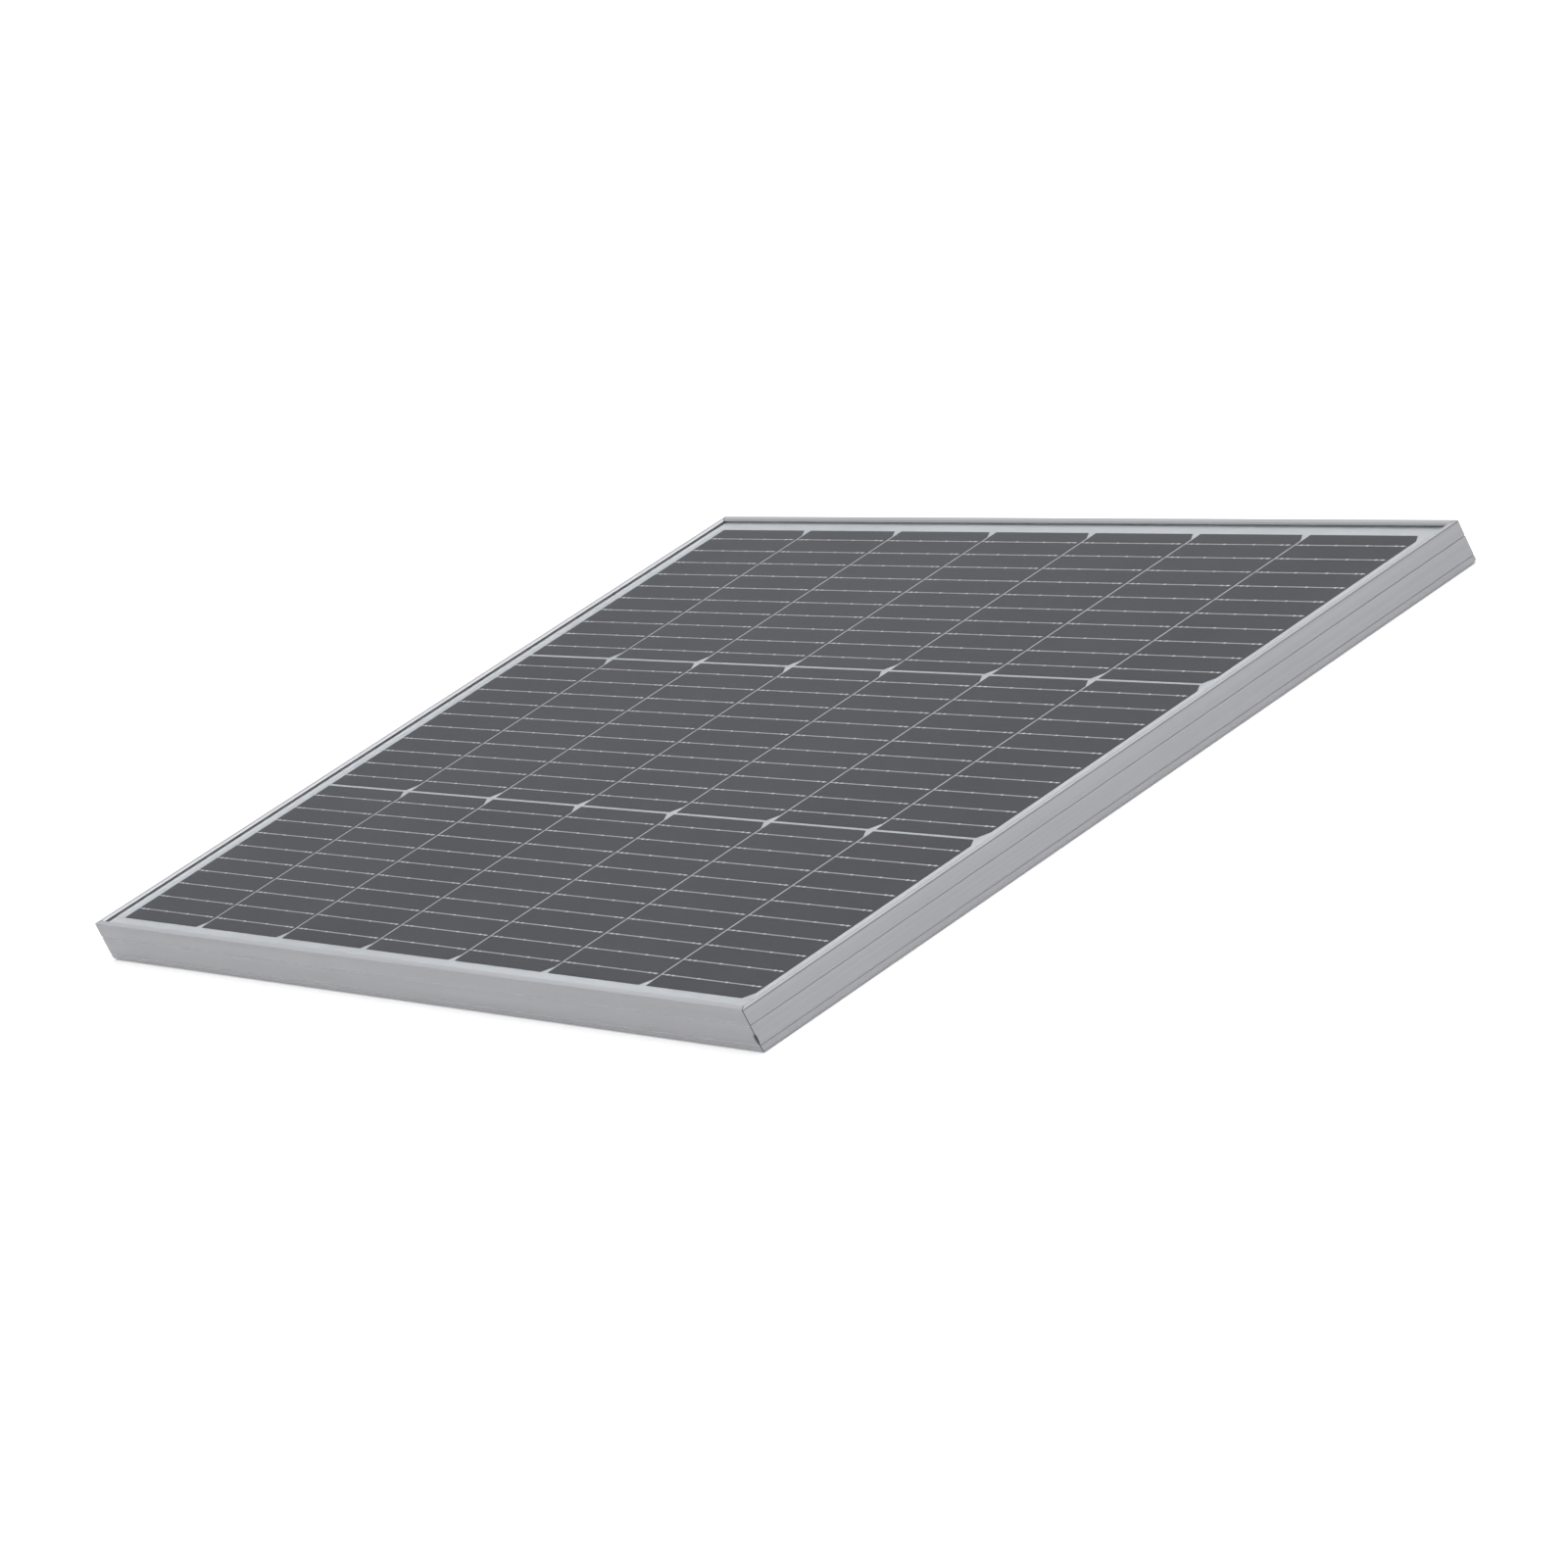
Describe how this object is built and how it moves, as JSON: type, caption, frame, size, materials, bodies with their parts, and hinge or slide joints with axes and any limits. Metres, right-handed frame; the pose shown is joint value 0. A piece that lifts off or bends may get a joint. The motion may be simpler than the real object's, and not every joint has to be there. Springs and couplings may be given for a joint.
{
  "type": "framed solar panel",
  "caption": "Framed glass photovoltaic panel: mitred aluminium frame, cut mono cells under glass, rear junction box with hinged lid and cable glands.",
  "frame": {"origin": "centre of the panel in plan, at the lowest face of the frame", "axes": "+X along the long side (the cells' cut corners face +X), +Y along the short side, +Z out of the glass; the panel lies face up"},
  "size_m": [0.94, 0.58, 0.03],
  "materials": {
    "frame_aluminium": "clear anodised, fine lengthwise brush lines",
    "key_aluminium": "as sawn",
    "solar_glass": "smooth tempered low-iron glass",
    "encapsulant": "clear film",
    "silicon_cell": "dark anti-reflection coating over fine finger lines",
    "tinned_copper": "tinned, satin",
    "white_film": "matt",
    "white_backsheet": "matt",
    "silicone_sealant": "satin",
    "edge_silicone": "satin",
    "box_plastic": "fine moulded texture",
    "black_rubber": "matt",
    "pin_steel": "ground",
    "terminal_brass": "tinned brass",
    "screw_steel": "zinc plated",
    "diode_epoxy": "moulded epoxy",
    "nut_nylon": "moulded nylon"
  },
  "bodies": {
    "panel": {"backsheet": "white_backsheet", "bus_cover_left": "white_film", "bus_cover_right": "white_film", "bus_strips_left": "tinned_copper", "bus_strips_right": "tinned_copper", "bypass_diode": "diode_epoxy", "cell_ribbons_back": "tinned_copper", "cell_ribbons_front": "tinned_copper", "cell_ribbons_middle": "tinned_copper", "corner_key_back_left": "key_aluminium", "corner_key_back_right": "key_aluminium", "corner_key_front_left": "key_aluminium", "corner_key_front_right": "key_aluminium", "edge_sealant": "edge_silicone", "foil_insulation": "white_film", "frame_rail_back": "frame_aluminium", "frame_rail_front": "frame_aluminium", "frame_rail_left": "frame_aluminium", "frame_rail_right": "frame_aluminium", "front_encapsulant": "encapsulant", "gland_nut_negative": "nut_nylon", "gland_nut_positive": "nut_nylon", "gland_seal_negative": "black_rubber", "gland_seal_positive": "black_rubber", "glass_sheet": "solar_glass", "junction_adhesive": "silicone_sealant", "junction_base": "box_plastic", "lead_foil_negative": "tinned_copper", "lead_foil_positive": "tinned_copper", "lid_gasket": "black_rubber", "lid_hinge_pin": "pin_steel", "link_foil_front_back": "tinned_copper", "link_foil_middle_front": "tinned_copper", "rear_encapsulant": "encapsulant", "solar_cell_back_1": "silicon_cell", "solar_cell_back_2": "silicon_cell", "solar_cell_back_3": "silicon_cell", "solar_cell_back_4": "silicon_cell", "solar_cell_back_5": "silicon_cell", "solar_cell_back_6": "silicon_cell", "solar_cell_back_7": "silicon_cell", "solar_cell_front_1": "silicon_cell", "solar_cell_front_2": "silicon_cell", "solar_cell_front_3": "silicon_cell", "solar_cell_front_4": "silicon_cell", "solar_cell_front_5": "silicon_cell", "solar_cell_front_6": "silicon_cell", "solar_cell_front_7": "silicon_cell", "solar_cell_middle_1": "silicon_cell", "solar_cell_middle_2": "silicon_cell", "solar_cell_middle_3": "silicon_cell", "solar_cell_middle_4": "silicon_cell", "solar_cell_middle_5": "silicon_cell", "solar_cell_middle_6": "silicon_cell", "solar_cell_middle_7": "silicon_cell", "terminal_negative": "terminal_brass", "terminal_positive": "terminal_brass", "terminal_screws": "screw_steel"},
    "lid": {"junction_lid": "box_plastic"}
  },
  "joints": [
    {"name": "lid_hinge", "type": "hinge", "parent": "panel", "child": "lid", "pos_m": [-0.3942, 0, 0.0056], "axis": [0, 1, 0], "range_deg": [0, 105]}
  ]
}
